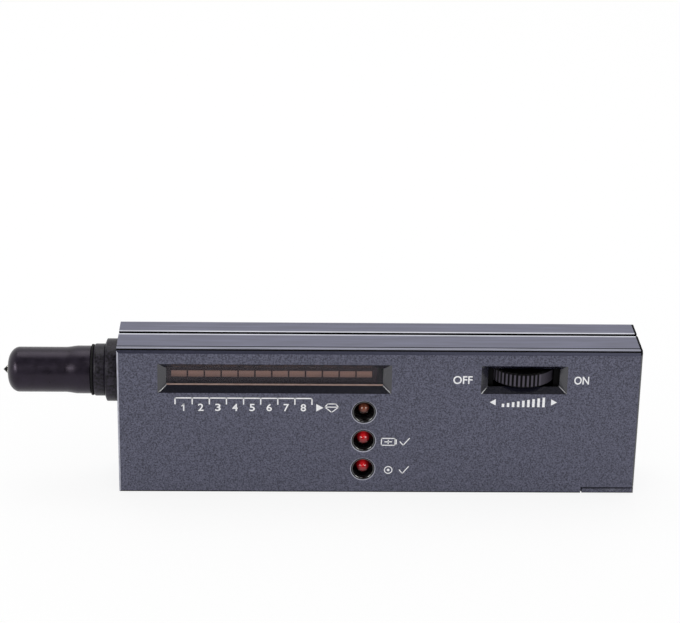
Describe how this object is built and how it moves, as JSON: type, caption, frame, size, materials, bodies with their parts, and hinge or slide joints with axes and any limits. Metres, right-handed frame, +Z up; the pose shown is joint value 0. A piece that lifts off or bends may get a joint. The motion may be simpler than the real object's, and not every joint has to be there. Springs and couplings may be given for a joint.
{
  "type": "diamond tester",
  "caption": "Pocket thermal tester: flat case with bar-graph display, lamps, thumbwheel, battery door and a sleeved spring probe at one end.",
  "frame": {"origin": "on the base face, in the middle of the case's length and depth", "axes": "+X along the case away from the probe, -Y out of the front face, +Z up from the long narrow side it stands on"},
  "size_m": [0.176, 0.0212, 0.0434],
  "materials": {
    "case_plastic": "fine grained",
    "steel": "plain",
    "tinted_pane": "tinted, clear",
    "black_plastic": "moulded",
    "segment": "milky",
    "tinned_wire": "tinned",
    "gloss_black": "polished",
    "lamp_off": "clear dome",
    "lamp_lit": "clear dome",
    "board": "lacquered",
    "resistor": "lacquered",
    "capacitor": "sleeved",
    "brown_plastic": "pressed",
    "pale_plastic": "moulded",
    "wheel_plastic": "moulded",
    "battery_can": "bare of print",
    "bright_metal": "plated",
    "red_cover": "soft",
    "black_cover": "soft",
    "grey_cover": "soft",
    "collar_plastic": "satin",
    "black_rubber": "soft",
    "tip_metal": "dull, darkened by heat",
    "bead": "fired",
    "sleeve_vinyl": "soft gloss"
  },
  "bodies": {
    "case": {"front_shell": "case_plastic", "rear_shell": "case_plastic", "case_screws": "steel", "display_pane": "tinted_pane", "bargraph_housing": "black_plastic", "bargraph_segments": "segment", "bargraph_pins": "tinned_wire", "lamp_cups": "gloss_black", "upper_lamp": "lamp_off", "middle_lamp": "lamp_lit", "lower_lamp": "lamp_lit", "lamp_legs": "tinned_wire", "circuit_board": "board", "board_screws": "steel", "driver_chips": "black_plastic", "chip_legs_set": "tinned_wire", "resistors": "resistor", "capacitors": "capacitor", "transistors": "black_plastic", "buzzer": "black_plastic", "volume_control": "brown_plastic", "control_terminals": "tinned_wire", "battery": "battery_can", "battery_terminals": "bright_metal", "battery_snap": "black_plastic", "red_lead": "red_cover", "black_lead": "black_cover", "probe_collar": "collar_plastic", "probe_ring": "collar_plastic", "probe_washer": "black_rubber", "probe_barrel": "pale_plastic", "barrel_locknut": "steel", "probe_leads": "grey_cover", "tip_spring": "steel"},
    "wheel": {"thumbwheel": "wheel_plastic", "control_shaft": "pale_plastic", "wheel_screw": "steel"},
    "tip": {"probe_tip": "tip_metal", "heater_bead": "bead"},
    "sleeve": {"probe_sleeve": "sleeve_vinyl"},
    "door": {"battery_door": "case_plastic"}
  },
  "joints": [
    {"name": "wheel_turn", "type": "hinge", "parent": "case", "child": "wheel", "pos_m": [0.03975, -0.0018, 0.03475], "axis": [0, 0, 1], "range_deg": [-60, 230]},
    {"name": "tip_press", "type": "slide", "parent": "case", "child": "tip", "axis": [1, 0, 0], "range_m": [0, 0.0012], "stiffness_N_per_m": 300, "springref_m": -0.001, "deforming": ["tip_spring"]},
    {"name": "sleeve_pull", "type": "slide", "parent": "case", "child": "sleeve", "axis": [-1, 0, 0], "range_m": [0, 0.026]},
    {"name": "door_slide", "type": "slide", "parent": "case", "child": "door", "axis": [1, 0, 0], "range_m": [0, 0.056]}
  ]
}
